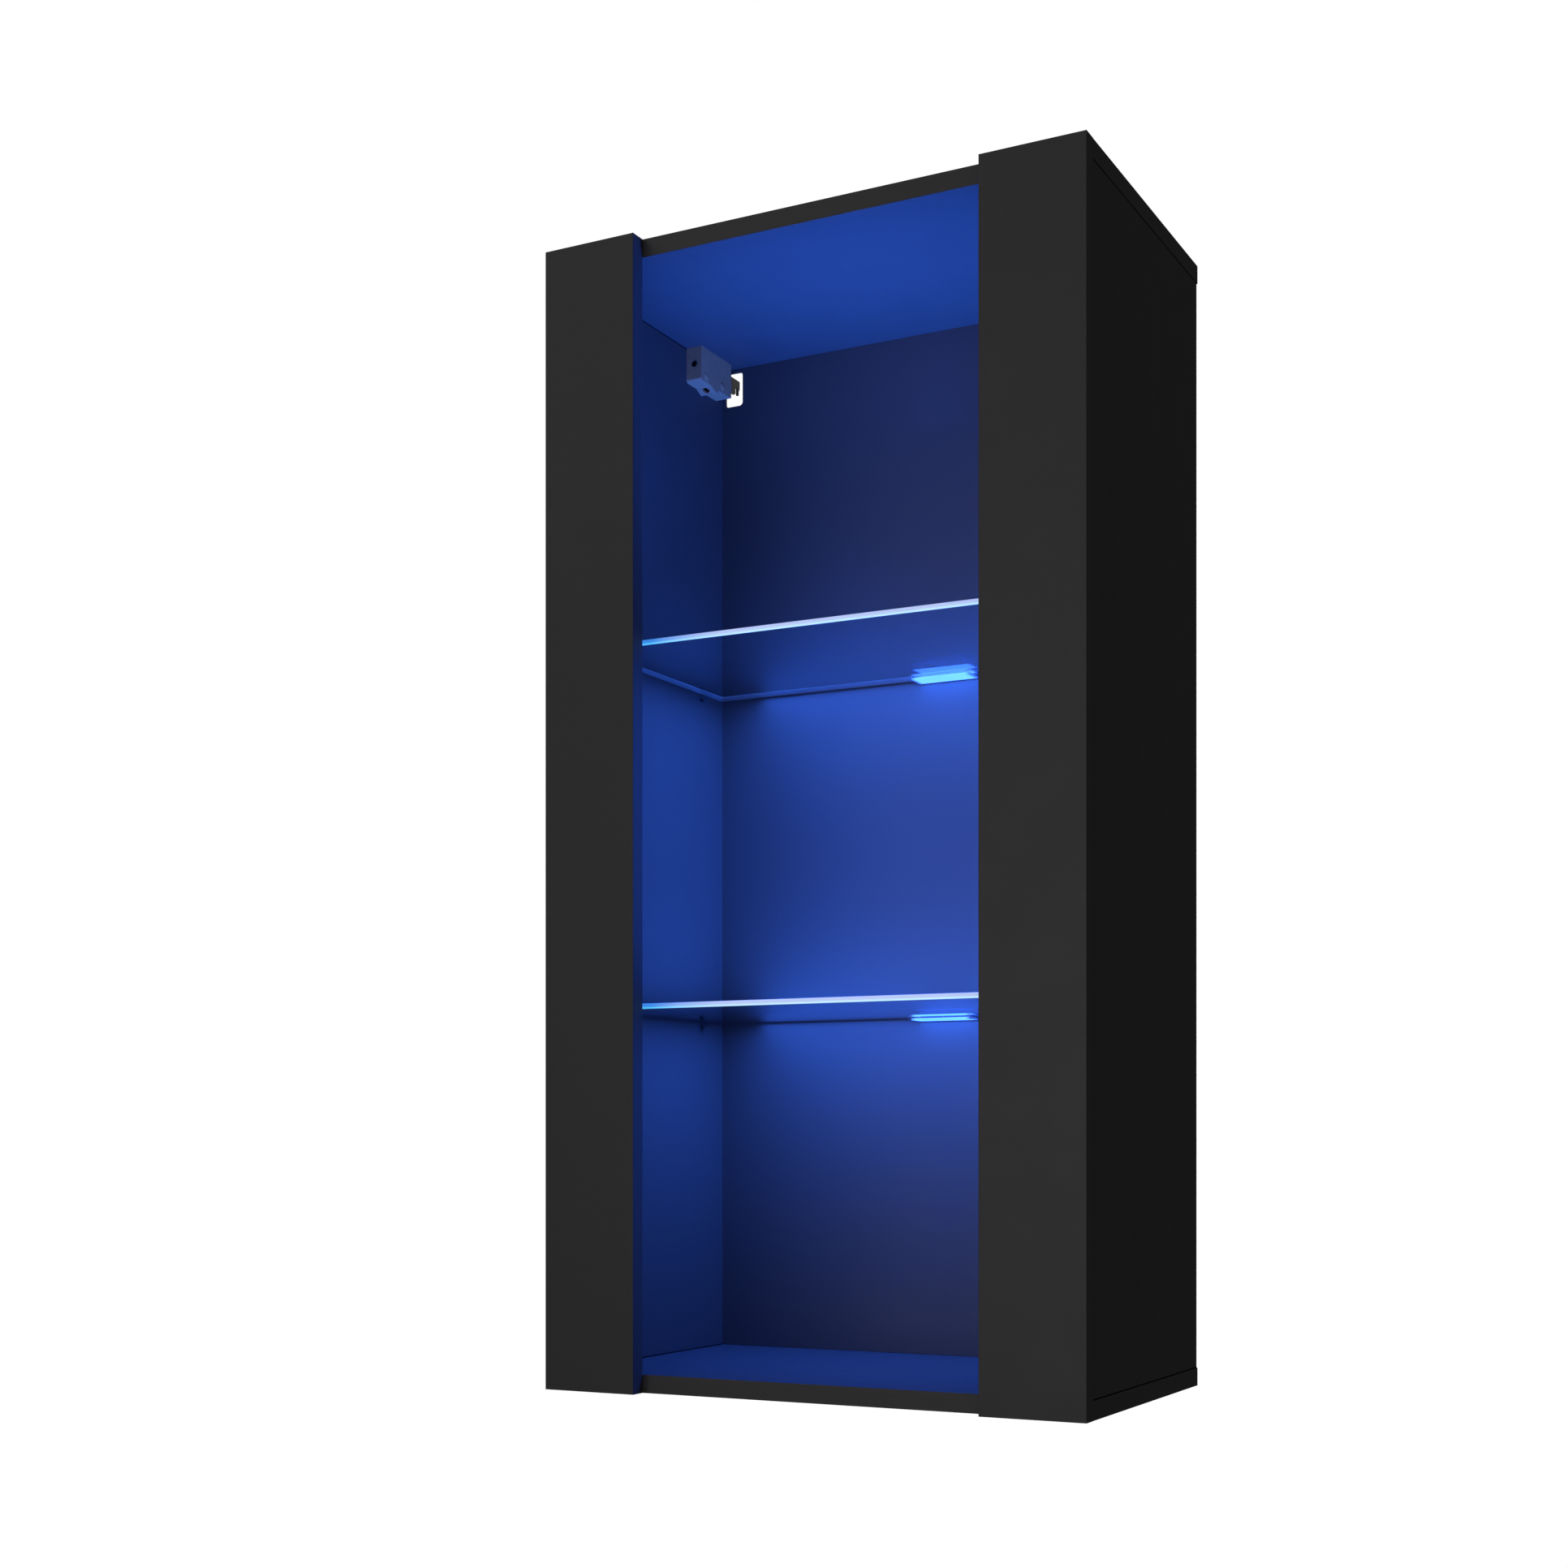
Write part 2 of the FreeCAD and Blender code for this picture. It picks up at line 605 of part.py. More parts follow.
def slant_rod(radius, start, end):
    """Round bar on the height screw's axis, from start to end behind the slanted face."""
    middle, inward = slant()
    base = FreeCAD.Vector(u_of(SCREW_U), y_of(middle[0]), middle[1]) + inward * start
    return Part.makeCylinder(radius, end - start, base, inward)


def hanger_pegs():
    """Two grey pegs through the casing into the side board, with domed heads."""
    dome_ball = (PEG_DOME_R ** 2 + PEG_DOME ** 2) / (2.0 * PEG_DOME)
    pegs = []
    for depth in PEG_DEPTHS:
        wall = rod(PEG_WALL_R, PEG_IN_WALL, u_of(-PEG_IN_WALL), depth, PEG_Z, X_AXIS)
        shaft = rod(PEG_SHAFT_R, HANGER_WIDTH, u_of(0.0), depth, PEG_Z, X_AXIS)
        centre = FreeCAD.Vector(u_of(HANGER_WIDTH + PEG_DOME - dome_ball), y_of(depth), PEG_Z)
        ball = Part.makeSphere(dome_ball, centre)
        reach = rod(PEG_DOME_R, PEG_DOME, u_of(HANGER_WIDTH), depth, PEG_Z, X_AXIS)
        pegs.append(union([wall, shaft, ball.common(reach)]))
    return pegs


def hanger_casing():
    """Grey moulded casing: open at the rear, with a slanted boss under its floor."""
    wide = HANGER_WIDTH
    shell = box(u_of(0.0), u_of(wide), HANGER_FRONT, HANGER_REAR, HANGER_BASE, CEILING)
    near_front = y_of(HANGER_FRONT + HANGER_WALL / 2.0)
    nose = edges_where(shell, lambda e: runs_along(e, X_AXIS) and mid(e).y < near_front
                       and mid(e).z < HANGER_BASE + HANGER_WALL)
    shell = shell.makeFillet(CASING_NOSE, nose)
    floor_top = HANGER_BASE + HANGER_WALL
    wedge_outline = (WEDGE_TOE, WEDGE_TIP, WEDGE_HEEL, (WEDGE_HEEL[0], floor_top),
                     (WEDGE_TOE[0], floor_top))
    shell = union([shell, plate(wedge_outline, u_of(0.0), u_of(wide))])
    rims = edges_where(shell, lambda e: runs_along(e, Z_AXIS) and mid(e).y < near_front
                       and mid(e).x > u_of(wide - HANGER_WALL))
    shell = shell.makeFillet(CASING_RIM, rims)
    hollow = box(u_of(HANGER_WALL), u_of(wide - HANGER_WALL), HANGER_FRONT + HANGER_WALL,
                 HANGER_REAR, floor_top, CEILING - HANGER_WALL)
    shell = less(shell, [hollow])
    collar = box(u_of(HANGER_WALL), u_of(wide - HANGER_WALL), *COLLAR_DEPTHS, *COLLAR_Z)
    shell = union([shell, collar, slant_rod(BOSS_R, *BOSS_SPAN)])
    screw_u = u_of(SCREW_U)
    cuts = [
        rod(ACCESS_R, HANGER_WALL, screw_u, HANGER_FRONT, DEPTH_SCREW_Z, Y_AXIS),
        rod(SCREW_R + SCREW_FIT, COLLAR_DEPTHS[1] - COLLAR_DEPTHS[0], screw_u, COLLAR_DEPTHS[0],
            DEPTH_SCREW_Z, Y_AXIS),
        slant_rod(BOSS_MOUTH_R, -BOSS_SPAN[0], BOSS_MOUTH_END),
        slant_rod(SCREW_R + SCREW_FIT, BOSS_MOUTH_END, BOSS_SPAN[1]),
    ]
    for depth in PEG_DEPTHS:
        cuts.append(rod(PEG_SHAFT_R, wide, u_of(0.0), depth, PEG_Z, X_AXIS))
    return less(shell, cuts)


def depth_screw():
    """Screw that draws the slider in and out; its head is held behind the front wall."""
    head = rod(DEPTH_HEAD_R, DEPTH_HEAD, u_of(SCREW_U), DEPTH_HEAD_FROM, DEPTH_SCREW_Z, Y_AXIS)
    shaft_from = DEPTH_HEAD_FROM + DEPTH_HEAD
    shaft = rod(SCREW_R, DEPTH_SCREW_END - shaft_from, u_of(SCREW_U), shaft_from,
                DEPTH_SCREW_Z, Y_AXIS)
    recess = []
    for wide, tall in ((RECESS_HALF, RECESS_SLOT), (RECESS_SLOT, RECESS_HALF)):
        recess.append(box(u_of(SCREW_U) - wide, u_of(SCREW_U) + wide,
                          DEPTH_HEAD_FROM, DEPTH_HEAD_FROM + RECESS_DEEP,
                          DEPTH_SCREW_Z - tall, DEPTH_SCREW_Z + tall))
    return less(union([head, shaft]), recess)


def height_screw():
    """Slanted screw that tilts the hook by pushing up its tab."""
    head_from, head_to = HEIGHT_HEAD_SPAN
    screw = union([slant_rod(HEIGHT_HEAD_R, head_from, head_to),
                   slant_rod(SCREW_R, head_to, HEIGHT_SCREW_END)])
    middle, inward = slant()
    turn = math.degrees(math.atan2(inward.y, inward.z))
    at = FreeCAD.Vector(u_of(SCREW_U), y_of(middle[0]), middle[1])
    recess = []
    for wide, deep in ((HEIGHT_RECESS_HALF, RECESS_SLOT), (RECESS_SLOT, HEIGHT_RECESS_HALF)):
        corner = FreeCAD.Vector(-wide, -deep, head_from)
        bar = Part.makeBox(2.0 * wide, 2.0 * deep, HEIGHT_RECESS_DEEP, corner)
        bar.rotate(FreeCAD.Vector(0, 0, 0), X_AXIS, -turn)
        bar.translate(at)
        recess.append(bar)
    return less(screw, recess)


def hanger_slider():
    """Steel block that the depth screw moves; the hook pivots on it."""
    block = box(u_of(SLIDER_U[0]), u_of(SLIDER_U[1]), SLIDER_DEPTHS[0], SLIDER_DEPTHS[1],
                SLIDER_Z[0], SLIDER_Z[1])
    length = SLIDER_DEPTHS[1] - SLIDER_DEPTHS[0]
    threads = rod(SCREW_R + SCREW_FIT, length, u_of(SCREW_U), SLIDER_DEPTHS[0],
                  DEPTH_SCREW_Z, Y_AXIS)
    pivot = rod(PIVOT_R, SLIDER_U[1] - SLIDER_U[0], u_of(SLIDER_U[0]), PIVOT_DEPTH, PIVOT_Z,
                X_AXIS)
    return less(block, [threads, pivot])


def hook_pivot():
    """Headed pin that the hook tilts on, pressed into the slider."""
    head_u = HOOK_U[1] + PIVOT_PLAY
    pin = rod(PIVOT_R, head_u - SLIDER_U[0], u_of(SLIDER_U[0]), PIVOT_DEPTH, PIVOT_Z, X_AXIS)
    head = rod(PIVOT_HEAD_R, PIVOT_HEAD, u_of(head_u), PIVOT_DEPTH, PIVOT_Z, X_AXIS)
    return union([pin, head])


def wall_hook():
    """Steel plate hook: a notch behind the back board drops over the wall rail."""
    end = CABINET_DEPTH + HOOK_REACH
    lip = end - 2.0
    tab_front, tab_rear = TAB_DEPTHS
    notch_front, notch_rear = NOTCH_DEPTHS
    mouth, seat = NOTCH_Z
    rear_end = [(end, PIVOT_Z), (end, 966.9), (lip, 964.6), (lip, mouth)]
    notch = [(notch_rear, mouth), (notch_rear, seat), (notch_front, seat), (notch_front, 960.6)]
    arm = [(290.6, 959.0), (273.5, 958.5), (273.5, 966.0), (259.0, 966.0)]
    tab_end = [(tab_rear, TAB_Z), (tab_front, TAB_Z), (tab_front, 965.6)]
    crown = [(249.0, 970.0), (255.0, 978.5), (264.5, 978.5), (268.0, PIVOT_Z)]
    blade = plate(rear_end + notch + arm + tab_end + crown, u_of(HOOK_U[0]), u_of(HOOK_U[1]))
    tab = box(u_of(TAB_U), u_of(HOOK_U[1]), tab_front, tab_rear, TAB_Z, TAB_Z + TAB_THICK)
    eye = rod(PIVOT_R + SCREW_FIT, HOOK_U[1] - HOOK_U[0], u_of(HOOK_U[0]), PIVOT_DEPTH,
              PIVOT_Z, X_AXIS)
    return less(union([blade, tab]), [eye])


# ---------------------------------------------------------------- nodes
def board_nodes():
    return {
        "right_side_panel": side_board(),
        "left_side_panel": mirrored(side_board()),
        "top_panel": level_board(True),
        "bottom_panel": level_board(False),
        "back_panel": back_board(),
        "right_front_stile": stile(),
        "left_front_stile": mirrored(stile()),
        "top_panel_edge_bands": level_board_bands(True),
        "bottom_panel_edge_bands": level_board_bands(False),
        "right_stile_edge_bands": stile_bands(),
        "left_stile_edge_bands": mirrored(stile_bands()),
    }


def level_fastener_nodes():
    nodes = {}
    for place, face_z, inward in (("top", HEIGHT, -1.0), ("bottom", 0.0, 1.0)):
        way = FreeCAD.Vector(0, 0, inward)
        start = face_z + inward * (BOARD - DOWEL_IN_FACE)
        screws = [confirmat_screw(d, face_z, inward) for d in SIDE_FASTENER_DEPTHS]
        caps = [screw_cap(d, face_z, inward) for d in SIDE_FASTENER_DEPTHS]
        pins = [dowel_pin(SIDE_MID_X, d, start, way) for d in SIDE_DOWEL_DEPTHS]
        nodes[place + "_confirmat_screws"] = group(both_sides(screws))
        nodes[place + "_screw_caps"] = group(both_sides(caps))
        nodes[place + "_panel_dowels"] = group(both_sides(pins))
    return nodes


def stile_fastener_nodes():
    start = CARCASS_FRONT - DOWEL_IN_FACE
    right = {
        "stile_dowels": [dowel_pin(SIDE_MID_X, start, z, Y_AXIS) for z in STILE_DOWEL_HEIGHTS],
        "stile_cam_bolts": [cam_bolt(z) for z in STILE_CAM_HEIGHTS],
        "stile_cam_locks": [cam_lock(z) for z in STILE_CAM_HEIGHTS],
    }
    nodes = {}
    for name, pieces in right.items():
        nodes["right_" + name] = group(pieces)
        nodes["left_" + name] = group([mirrored(piece) for piece in pieces])
    return nodes


def shelf_nodes():
    nodes = {}
    for place, level in SHELF_LEVELS.items():
        pins = [shelf_pin(depth, level) for depth in SHELF_PIN_DEPTHS]
        nodes[place + "_shelf_pins"] = group(both_sides(pins))
        nodes[place + "_glass_shelf"] = glass_shelf(level)
        nodes[place + "_lamp_housing"] = lamp_housing(level)
        nodes[place + "_lamp_diffusers"] = group(lamp_diffusers(level))
        nodes[place + "_lamp_circuit"] = lamp_circuit(level)
        nodes[place + "_lamp_leds"] = group(lamp_leds(level))
        nodes[place + "_lamp_socket"] = lamp_socket(level)
    return nodes


def hanger_nodes():
    left = {
        "hanger_casing": hanger_casing(),
        "hanger_pegs": group(hanger_pegs()),
        "depth_screw": depth_screw(),
        "height_screw": height_screw(),
        "hanger_slider": hanger_slider(),
        "hook_pivot": hook_pivot(),
        "wall_hook": wall_hook(),
    }
    nodes = {}
    for name, shape in left.items():
        nodes["left_" + name] = shape
        nodes["right_" + name] = mirrored(shape)
    return nodes


def main():
    os.makedirs("parts", exist_ok=True)
    nodes = {}
    for made in (board_nodes(), level_fastener_nodes(), stile_fastener_nodes(),
                 shelf_nodes(), hanger_nodes()):
        nodes.update(made)
    nodes["back_panel_nails"] = group(both_sides([nail(z) for z in NAIL_HEIGHTS]))
    for name, shape in nodes.items():
        save(name, shape)
    print(len(nodes), "nodes")


main()
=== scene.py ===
import json
import math

import bpy
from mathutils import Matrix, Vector


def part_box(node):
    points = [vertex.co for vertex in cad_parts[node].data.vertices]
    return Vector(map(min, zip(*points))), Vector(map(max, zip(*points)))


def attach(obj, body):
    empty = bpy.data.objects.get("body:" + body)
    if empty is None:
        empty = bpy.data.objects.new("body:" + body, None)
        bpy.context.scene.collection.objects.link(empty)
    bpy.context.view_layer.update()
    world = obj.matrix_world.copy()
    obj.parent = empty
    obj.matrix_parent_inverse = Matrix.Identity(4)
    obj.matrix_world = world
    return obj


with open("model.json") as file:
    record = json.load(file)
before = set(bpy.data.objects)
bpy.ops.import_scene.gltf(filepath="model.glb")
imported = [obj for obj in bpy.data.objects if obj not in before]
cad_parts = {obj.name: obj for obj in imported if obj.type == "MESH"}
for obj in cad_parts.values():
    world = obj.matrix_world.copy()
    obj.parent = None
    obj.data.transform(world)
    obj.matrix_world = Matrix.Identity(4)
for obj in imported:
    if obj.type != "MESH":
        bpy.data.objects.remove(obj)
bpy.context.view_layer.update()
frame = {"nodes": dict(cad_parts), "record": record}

# ------------------------------------------------------------------ sizes from the frame
PLACES = ("lower", "upper")
GLASS = {place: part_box(place + "_glass_shelf") for place in PLACES}
DIFFUSERS = {place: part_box(place + "_lamp_diffusers") for place in PLACES}
HOUSINGS = {place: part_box(place + "_lamp_housing") for place in PLACES}

# ------------------------------------------------------------------ colours, linear
BLACK_LAMINATE = (0.0215, 0.0205, 0.0212)
BLACK_PLASTIC = (0.020, 0.020, 0.021)
LAMP_BLUE = (0.036, 0.154, 1.0)
RAW_HARDBOARD = (0.16, 0.095, 0.05)
GREY_PLASTIC = (0.19, 0.115, 0.062)
ZINC = (0.62, 0.63, 0.65)


# ------------------------------------------------------------------ node helpers
class Shader:
    """A material's node tree, with short calls to add and join nodes."""

    def __init__(self, name):
        self.material = bpy.data.materials.new(name)
        self.material.use_nodes = True
        self.tree = self.material.node_tree
        self.tree.nodes.clear()
        self.output = self.add("ShaderNodeOutputMaterial")
        self.position = self.add("ShaderNodeTexCoord").outputs["Object"]

    def add(self, kind, **settings):
        node = self.tree.nodes.new(kind)
        for key, value in settings.items():
            setattr(node, key, value)
        return node

    def join(self, source, target):
        self.tree.links.new(source, target)

    def scaled(self, factors):
        """Object coordinates, each multiplied by its own factor."""
        node = self.add("ShaderNodeMapping")
        self.join(self.position, node.inputs["Vector"])
        node.inputs["Scale"].default_value = factors
        return node.outputs["Vector"]

    def noise(self, per_metre, detail=2.0, roughness=0.5, vector=None):
        """Noise from 0 to 1 with this many features a metre."""
        node = self.add("ShaderNodeTexNoise")
        self.join(vector or self.position, node.inputs["Vector"])
        node.inputs["Scale"].default_value = per_metre
        node.inputs["Detail"].default_value = detail
        node.inputs["Roughness"].default_value = roughness
        return node.outputs["Fac"]

    def remap(self, value, low, high, source_low=0.0, source_high=1.0, smooth=False):
        node = self.add("ShaderNodeMapRange")
        node.interpolation_type = "SMOOTHSTEP" if smooth else "LINEAR"
        self.join(value, node.inputs["Value"])
        node.inputs["From Min"].default_value = source_low
        node.inputs["From Max"].default_value = source_high
        node.inputs["To Min"].default_value = low
        node.inputs["To Max"].default_value = high
        return node.outputs["Result"]

    def maths(self, operation, a, b=0.0):
        node = self.add("ShaderNodeMath", operation=operation)
        for socket, value in zip(node.inputs, (a, b)):
            if isinstance(value, (int, float)):
                socket.default_value = value
            else:
                self.join(value, socket)
        return node.outputs["Value"]

    def ramp(self, value, stops):
        """Colours along a 0 to 1 value; stops are (place, (r, g, b))."""
        node = self.add("ShaderNodeValToRGB")
        elements = node.color_ramp.elements
        while len(elements) < len(stops):
            elements.new(0.5)
        for element, (place, colour) in zip(elements, stops):
            element.position = place
            element.color = (*colour, 1.0)
        self.join(value, node.inputs["Fac"])
        return node.outputs["Color"]

    def blend(self, factor, a, b):
        """Mixes two colours, each an (r, g, b) or a socket."""
        node = self.add("ShaderNodeMix", data_type="RGBA")
        self.join(factor, node.inputs["Factor"])
        for socket, value in ((node.inputs[6], a), (node.inputs[7], b)):
            if isinstance(value, tuple):
                socket.default_value = (*value, 1.0)
            else:
                self.join(value, socket)
        return node.outputs[2]

    def bump(self, height, strength, distance):
        node = self.add("ShaderNodeBump")
        self.join(height, node.inputs["Height"])
        node.inputs["Strength"].default_value = strength
        node.inputs["Distance"].default_value = distance
        return node.outputs["Normal"]

    def component(self, kind, axis):
        """One component of a texture coordinate, such as Object or Normal."""
        coordinates = self.add("ShaderNodeTexCoord")
        node = self.add("ShaderNodeSeparateXYZ")
        self.join(coordinates.outputs[kind], node.inputs["Vector"])
        return node.outputs[axis]

    def axis_value(self, axis):
        """One coordinate of the point, in metres in the cabinet's own frame."""
        return self.component("Object", axis)

    def across_box(self, axis):
        """One coordinate of the point, from 0 to 1 across the piece's own box."""
        return self.component("Generated", axis)

    def facing(self, axis):
        """How squarely the surface faces along an axis of the piece, from 0 to 1."""
        return self.maths("ABSOLUTE", self.component("Normal", axis))

    def mirror_share(self):
        """Share of light that clear glass reflects: little face on, nearly all at a glance."""
        weight = self.add("ShaderNodeLayerWeight")
        weight.inputs["Blend"].default_value = 0.5
        glance = self.maths("POWER", weight.outputs["Facing"], 5.0)
        return self.remap(glance, 0.04, 0.9)

    def mix(self, factor, a, b):
        """Mixes two surfaces; a factor of 0 gives the first."""
        node = self.add("ShaderNodeMixShader")
        self.join(factor, node.inputs["Fac"])
        self.join(a, node.inputs[1])
        self.join(b, node.inputs[2])
        return node.outputs["Shader"]

    def principled(self, colour, roughness, **sockets):
        node = self.add("ShaderNodeBsdfPrincipled")
        values = {"Base Color": colour, "Roughness": roughness, **sockets}
        for name, value in values.items():
            socket = node.inputs[name]
            if isinstance(value, tuple):
                socket.default_value = (*value, 1.0) if len(value) == 3 else value
            elif isinstance(value, (int, float)):
                socket.default_value = value
            else:
                self.join(value, socket)
        return node.outputs["BSDF"]

    def finish(self, surface):
        self.join(surface, self.output.inputs["Surface"])
        return self.material


def shaded(colour, low, high):
    """The same colour a little darker and a little lighter."""
    return tuple(c * low for c in colour), tuple(c * high for c in colour)


# ------------------------------------------------------------------ materials
JOINT_SHADE_SHARE = 0.0012          # painted shade in the joint gap at each end, as a share of the side panel's height


def laminate(name, colour, gloss, edge_axis=None, joint_shade=0.0):
    """Matt melamine film: a fine pearl grain, faint cloudiness and uneven sheen.
    With edge_axis, faces that look any other way are sawn hardboard. A nonzero last argument
    is the share of an upright board's height, at top and foot, painted as shade in the joint."""
    s = Shader(name)
    cloud = s.noise(7.0, 3.0)
    speck = s.noise(1400.0, 2.0, 0.6)
    dark, light = shaded(colour, 0.93, 1.07)
    base = s.blend(cloud, dark, light)
    speck_dark, speck_light = shaded(colour, 0.86, 1.18)
    grain = s.blend(s.remap(speck, 0.0, 1.0, 0.35, 0.65), speck_dark, speck_light)
    mixed = s.blend(s.remap(speck, 0.25, 0.45), base, grain)
    sheen = s.remap(s.noise(24.0, 4.0), gloss - 0.03, gloss + 0.04)
    height = s.maths("ADD", s.noise(950.0, 2.0), s.maths("MULTIPLY", s.noise(90.0, 2.0), 1.5))
    if edge_axis:
        fibres = s.ramp(s.noise(900.0, 4.0, 0.7), ((0.3, (0.05, 0.028, 0.014)), (0.7, RAW_HARDBOARD)))
        face = s.remap(s.facing(edge_axis), 0.0, 1.0, 0.5, 0.7)
        mixed = s.blend(face, fibres, mixed)
    board = s.principled(mixed, sheen, Normal=s.bump(height, 0.10, 0.0002),
                         **{"Specular IOR Level": 0.35})
    # painted shade: a near-black, unshiny strip at the board's top and foot stands for the shadow in
    # the gap of the joint
    if joint_shade:
        out = s.maths("ABSOLUTE", s.maths("SUBTRACT", s.across_box("Z"), 0.5))
        joint = s.remap(out, 0.0, 1.0, 0.5 - joint_shade, 0.5 - 0.7 * joint_shade)
        dark = s.principled((0.0015, 0.0015, 0.0015), 0.9, **{"Specular IOR Level": 0.0})
        board = s.mix(joint, board, dark)
    return s.finish(board)


def edge_band(name):
    """Plastic edge band: like the board, with faint lines along its length."""
    s = Shader(name)
    lines = s.noise(1.0, 3.0, 0.6, s.scaled((3.0, 1500.0, 3.0)))
    cloud = s.noise(9.0, 3.0)
    dark, light = shaded(BLACK_LAMINATE, 0.94, 1.08)
    roughness = s.remap(cloud, 0.44, 0.52)
    height = s.maths("ADD", s.noise(950.0, 2.0), lines)
    return s.finish(s.principled(s.blend(cloud, dark, light), roughness,
                                 Normal=s.bump(height, 0.08, 0.00015),
                                 **{"Specular IOR Level": 0.35}))


UNDERSIDE_MIRROR = 1.45      # the underside reflects for both faces of the glass,
TOP_MIRROR = 0.12            # and the top face hardly at all
BACK_EDGE_GLOW = 0.34        # painted light: emission for the lamp light that leaves by the back and side edges
BACK_EDGE_FROM, BACK_EDGE_TO = -0.20, 0.02       # it grows from left to right between these
FRONT_MASK = (0.0001, 0.0005)                    # depth over which the front edge ends


def shelf_glass(name):
    """Clear float glass: see-through faces, and ground edges with painted light: the back and
    sides glow faintly, and the front edge's painted glow carries most of the lamp's light."""
    s = Shader(name)
    clear = s.add("ShaderNodeBsdfTransparent")
    clear.inputs["Color"].default_value = (0.95, 0.975, 0.985, 1.0)
    gloss = s.add("ShaderNodeBsdfGlossy")
    gloss.inputs["Color"].default_value = (0.92, 0.96, 1.0, 1.0)
    s.join(s.remap(s.noise(30.0, 2.0), 0.01, 0.03), gloss.inputs["Roughness"])
    both_faces = s.remap(s.across_box("Z"), UNDERSIDE_MIRROR, TOP_MIRROR)
    mirror = s.maths("MULTIPLY", s.mirror_share(), both_faces)
    face = s.mix(mirror, clear.outputs["BSDF"], gloss.outputs["BSDF"])
    rim = s.remap(s.facing("Z"), 1.0, 0.0, 0.85, 0.95)
    dim = s.add("ShaderNodeBsdfTransparent")
    dim.inputs["Color"].default_value = (0.80, 0.86, 0.90, 1.0)
    # painted light on the ground back and side edges: a glow growing towards the lamp at the right,
    # weaker along the edge's foot as a painted dark line
    along = s.remap(s.axis_value("X"), 0.12, 1.0, BACK_EDGE_FROM, BACK_EDGE_TO, smooth=True)
    arris = s.remap(s.across_box("Z"), 0.45, 1.0, 0.05, 0.30)
    lit = s.maths("MULTIPLY", s.maths("MULTIPLY", along, arris), BACK_EDGE_GLOW)
    frost = s.principled((0.25, 0.31, 0.33), s.remap(s.noise(700.0), 0.40, 0.55), **{
        "Emission Color": LAMP_BLUE, "Emission Strength": lit})
    ground = s.mix(s.remap(s.noise(250.0), 0.46, 0.54), dim.outputs["BSDF"], frost)
    plain = s.mix(rim, face, ground)
    mask_from, mask_to = (GLASS["lower"][0].y + depth for depth in FRONT_MASK)
    at_front = s.remap(s.axis_value("Y"), 1.0, 0.0, mask_from, mask_to)
    return s.finish(s.mix(at_front, plain, ground_edge(s)))


# painted light: glow colours of the front edge, the lamp's blue with the white studio light on it;
# the second pair is the painted shadow of the left stile
EDGE_MIDDLE, EDGE_FOOT = (0.290, 0.400, 0.72), (0.380, 0.720, 0.95)
STILE_SHADOW_MIDDLE, STILE_SHADOW_FOOT = (0.010, 0.210, 0.72), (0.060, 0.540, 0.95)
STILE_SHADOW_FROM, STILE_SHADOW_TO = -0.168, -0.085    # painted shadow of the left stile over the edge's end, up to here


def ground_edge(s):
    """Frosted edge with painted light: its glow stands for the lamp's light in the glass and the
    white studio light on it, bluer along its foot, and deep blue at the end beside the left stile, as
    painted shadow."""
    rise = s.remap(s.across_box("Z"), 0.0, 1.0, 0.15, 0.50, smooth=True)
    along = s.remap(s.axis_value("X"), 0.0, 1.0, STILE_SHADOW_FROM, STILE_SHADOW_TO, smooth=True)
    foot = s.blend(along, STILE_SHADOW_FOOT, EDGE_FOOT)
    glow = s.blend(rise, foot, s.blend(along, STILE_SHADOW_MIDDLE, EDGE_MIDDLE))
    streak = s.noise(1.0, 3.0, 0.6, s.scaled((60.0, 400.0, 900.0)))
    frost = s.blend(streak, (0.38, 0.39, 0.41), (0.44, 0.45, 0.47))
    return s.principled(frost, s.remap(streak, 0.40, 0.50), **{
        "Emission Color": glow, "Emission Strength": s.remap(streak, 0.93, 1.07)})


def clear_plastic(name):
    """Water-clear moulded plastic: a trace of haze and a soft, uneven gloss."""
    s = Shader(name)
    clear = s.add("ShaderNodeBsdfTransparent")
    clear.inputs["Color"].default_value = (0.93, 0.96, 0.98, 1.0)
    gloss = s.add("ShaderNodeBsdfGlossy")
    gloss.inputs["Color"].default_value = (0.85, 0.92, 1.0, 1.0)
    s.join(s.remap(s.noise(300.0), 0.06, 0.14), gloss.inputs["Roughness"])
    haze = s.principled((0.30, 0.36, 0.42), s.remap(s.noise(220.0), 0.30, 0.40))
    shell = s.mix(s.remap(s.noise(90.0), 0.004, 0.010), clear.outputs["BSDF"], haze)
    share = s.remap(s.mirror_share(), 0.01, 0.12)
    return s.finish(s.mix(share, shell, gloss.outputs["BSDF"]))


LIT_GLOW = 5.5
UPPER_BAR = 0.68             # glow of the bar over the glass, as a share of the one under it
UPPER_BAR_REACH = 0.02       # the upper bar lies within this height over the glass's middle
LIT_EVEN = 0.84              # share of the bar's half length that glows evenly
LIT_END = 0.40               # glow at its very end, as a share of the middle's
CHIP_GLOW = 4.0


